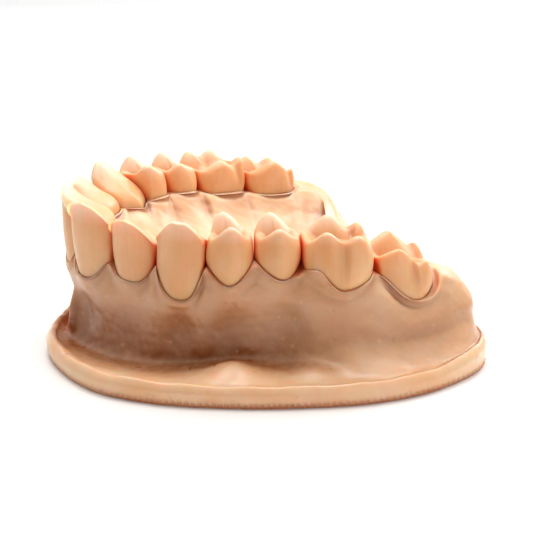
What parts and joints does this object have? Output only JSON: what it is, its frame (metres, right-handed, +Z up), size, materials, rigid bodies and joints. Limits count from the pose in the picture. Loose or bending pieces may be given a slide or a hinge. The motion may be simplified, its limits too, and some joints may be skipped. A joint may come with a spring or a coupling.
{
  "type": "dental typodont arch",
  "caption": "Upper dental arch model on a flat base, with removable teeth in sockets, each held by a small screw from the underside.",
  "frame": {"origin": "centre of the footprint on the underside", "axes": "+X towards the patient's right, -Y towards the front teeth, +Z up from the underside to the biting surfaces"},
  "size_m": [0.0733, 0.0597, 0.0227],
  "materials": {
    "gum_resin": "cured printing resin, peach, satin with a wet-looking sheen in the sulcus",
    "tooth_resin": "cured printing resin, peach, satin and slightly translucent",
    "screw_steel": "machined stainless steel"
  },
  "bodies": {
    "arch": {"arch_body": "gum_resin"},
    "central_incisor_right": {"central_incisor_right": "tooth_resin"},
    "screw_central_incisor_right": {"screw_central_incisor_right": "screw_steel"},
    "lateral_incisor_right": {"lateral_incisor_right": "tooth_resin"},
    "screw_lateral_incisor_right": {"screw_lateral_incisor_right": "screw_steel"},
    "canine_right": {"canine_right": "tooth_resin"},
    "screw_canine_right": {"screw_canine_right": "screw_steel"},
    "first_premolar_right": {"first_premolar_right": "tooth_resin"},
    "screw_first_premolar_right": {"screw_first_premolar_right": "screw_steel"},
    "second_premolar_right": {"second_premolar_right": "tooth_resin"},
    "screw_second_premolar_right": {"screw_second_premolar_right": "screw_steel"},
    "first_molar_right": {"first_molar_right": "tooth_resin"},
    "screw_first_molar_right": {"screw_first_molar_right": "screw_steel"},
    "second_molar_right": {"second_molar_right": "tooth_resin"},
    "screw_second_molar_right": {"screw_second_molar_right": "screw_steel"},
    "central_incisor_left": {"central_incisor_left": "tooth_resin"},
    "screw_central_incisor_left": {"screw_central_incisor_left": "screw_steel"},
    "lateral_incisor_left": {"lateral_incisor_left": "tooth_resin"},
    "screw_lateral_incisor_left": {"screw_lateral_incisor_left": "screw_steel"},
    "canine_left": {"canine_left": "tooth_resin"},
    "screw_canine_left": {"screw_canine_left": "screw_steel"},
    "first_premolar_left": {"first_premolar_left": "tooth_resin"},
    "screw_first_premolar_left": {"screw_first_premolar_left": "screw_steel"},
    "second_premolar_left": {"second_premolar_left": "tooth_resin"},
    "screw_second_premolar_left": {"screw_second_premolar_left": "screw_steel"},
    "first_molar_left": {"first_molar_left": "tooth_resin"},
    "screw_first_molar_left": {"screw_first_molar_left": "screw_steel"},
    "second_molar_left": {"second_molar_left": "tooth_resin"},
    "screw_second_molar_left": {"screw_second_molar_left": "screw_steel"}
  },
  "joints": [
    {"name": "central_incisor_right_lift", "type": "slide", "parent": "arch", "child": "central_incisor_right", "axis": [0, 0, 1], "range_m": [0, 0.012]},
    {"name": "lateral_incisor_right_lift", "type": "slide", "parent": "arch", "child": "lateral_incisor_right", "axis": [0, 0, 1], "range_m": [0, 0.012]},
    {"name": "canine_right_lift", "type": "slide", "parent": "arch", "child": "canine_right", "axis": [0, 0, 1], "range_m": [0, 0.012]},
    {"name": "first_premolar_right_lift", "type": "slide", "parent": "arch", "child": "first_premolar_right", "axis": [0, 0, 1], "range_m": [0, 0.012]},
    {"name": "second_premolar_right_lift", "type": "slide", "parent": "arch", "child": "second_premolar_right", "axis": [0, 0, 1], "range_m": [0, 0.012]},
    {"name": "first_molar_right_lift", "type": "slide", "parent": "arch", "child": "first_molar_right", "axis": [0, 0, 1], "range_m": [0, 0.012]},
    {"name": "second_molar_right_lift", "type": "slide", "parent": "arch", "child": "second_molar_right", "axis": [0, 0, 1], "range_m": [0, 0.012]},
    {"name": "central_incisor_left_lift", "type": "slide", "parent": "arch", "child": "central_incisor_left", "axis": [0, 0, 1], "range_m": [0, 0.012]},
    {"name": "lateral_incisor_left_lift", "type": "slide", "parent": "arch", "child": "lateral_incisor_left", "axis": [0, 0, 1], "range_m": [0, 0.012]},
    {"name": "canine_left_lift", "type": "slide", "parent": "arch", "child": "canine_left", "axis": [0, 0, 1], "range_m": [0, 0.012]},
    {"name": "first_premolar_left_lift", "type": "slide", "parent": "arch", "child": "first_premolar_left", "axis": [0, 0, 1], "range_m": [0, 0.012]},
    {"name": "second_premolar_left_lift", "type": "slide", "parent": "arch", "child": "second_premolar_left", "axis": [0, 0, 1], "range_m": [0, 0.012]},
    {"name": "first_molar_left_lift", "type": "slide", "parent": "arch", "child": "first_molar_left", "axis": [0, 0, 1], "range_m": [0, 0.012]},
    {"name": "second_molar_left_lift", "type": "slide", "parent": "arch", "child": "second_molar_left", "axis": [0, 0, 1], "range_m": [0, 0.012]},
    {"name": "screw_central_incisor_right_back_out", "type": "slide", "parent": "arch", "child": "screw_central_incisor_right", "axis": [0, 0, -1], "range_m": [0, 0.0032]},
    {"name": "screw_lateral_incisor_right_back_out", "type": "slide", "parent": "arch", "child": "screw_lateral_incisor_right", "axis": [0, 0, -1], "range_m": [0, 0.0032]},
    {"name": "screw_canine_right_back_out", "type": "slide", "parent": "arch", "child": "screw_canine_right", "axis": [0, 0, -1], "range_m": [0, 0.0032]},
    {"name": "screw_first_premolar_right_back_out", "type": "slide", "parent": "arch", "child": "screw_first_premolar_right", "axis": [0, 0, -1], "range_m": [0, 0.0032]},
    {"name": "screw_second_premolar_right_back_out", "type": "slide", "parent": "arch", "child": "screw_second_premolar_right", "axis": [0, 0, -1], "range_m": [0, 0.0032]},
    {"name": "screw_first_molar_right_back_out", "type": "slide", "parent": "arch", "child": "screw_first_molar_right", "axis": [0, 0, -1], "range_m": [0, 0.0032]},
    {"name": "screw_second_molar_right_back_out", "type": "slide", "parent": "arch", "child": "screw_second_molar_right", "axis": [0, 0, -1], "range_m": [0, 0.0032]},
    {"name": "screw_central_incisor_left_back_out", "type": "slide", "parent": "arch", "child": "screw_central_incisor_left", "axis": [0, 0, -1], "range_m": [0, 0.0032]},
    {"name": "screw_lateral_incisor_left_back_out", "type": "slide", "parent": "arch", "child": "screw_lateral_incisor_left", "axis": [0, 0, -1], "range_m": [0, 0.0032]},
    {"name": "screw_canine_left_back_out", "type": "slide", "parent": "arch", "child": "screw_canine_left", "axis": [0, 0, -1], "range_m": [0, 0.0032]},
    {"name": "screw_first_premolar_left_back_out", "type": "slide", "parent": "arch", "child": "screw_first_premolar_left", "axis": [0, 0, -1], "range_m": [0, 0.0032]},
    {"name": "screw_second_premolar_left_back_out", "type": "slide", "parent": "arch", "child": "screw_second_premolar_left", "axis": [0, 0, -1], "range_m": [0, 0.0032]},
    {"name": "screw_first_molar_left_back_out", "type": "slide", "parent": "arch", "child": "screw_first_molar_left", "axis": [0, 0, -1], "range_m": [0, 0.0032]},
    {"name": "screw_second_molar_left_back_out", "type": "slide", "parent": "arch", "child": "screw_second_molar_left", "axis": [0, 0, -1], "range_m": [0, 0.0032]}
  ]
}
